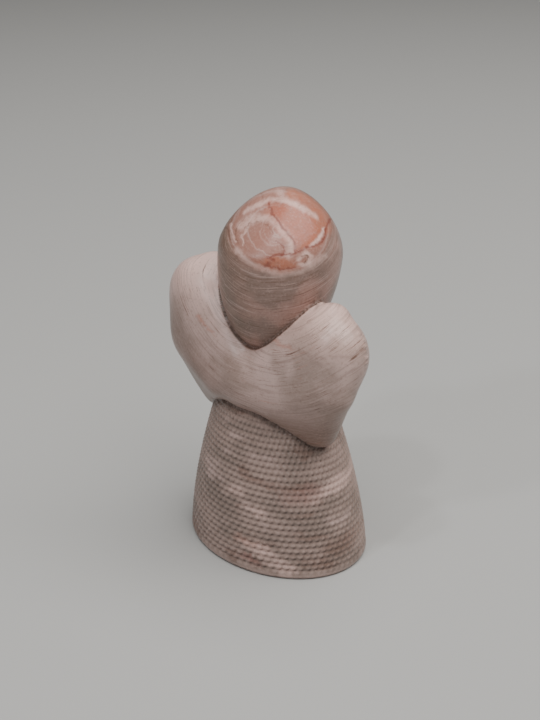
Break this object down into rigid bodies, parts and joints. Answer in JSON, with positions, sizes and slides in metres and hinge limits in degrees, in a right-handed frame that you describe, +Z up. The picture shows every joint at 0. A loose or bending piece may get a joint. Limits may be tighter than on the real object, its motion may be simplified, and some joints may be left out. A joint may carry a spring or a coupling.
{
  "type": "cast angel figurine",
  "caption": "Small one-piece cast angel with an egg-shaped head, plump drop-shaped wings and a flared dress of knitted rows. It stands on its flat underside.",
  "frame": {"origin": "middle of the flat underside, on the dress's axis", "axes": "+Z up; the face looks along -Y and the wings are at the back, +Y; the figure's sides are along X"},
  "size_m": [0.0663, 0.0433, 0.1028],
  "materials": {
    "marbled_casting": "satin cast compound, marbled in dusty pink, mauve grey and salmon with fine brown streaks"
  },
  "bodies": {
    "root": {"angel_figurine": "marbled_casting"}
  },
  "joints": []
}
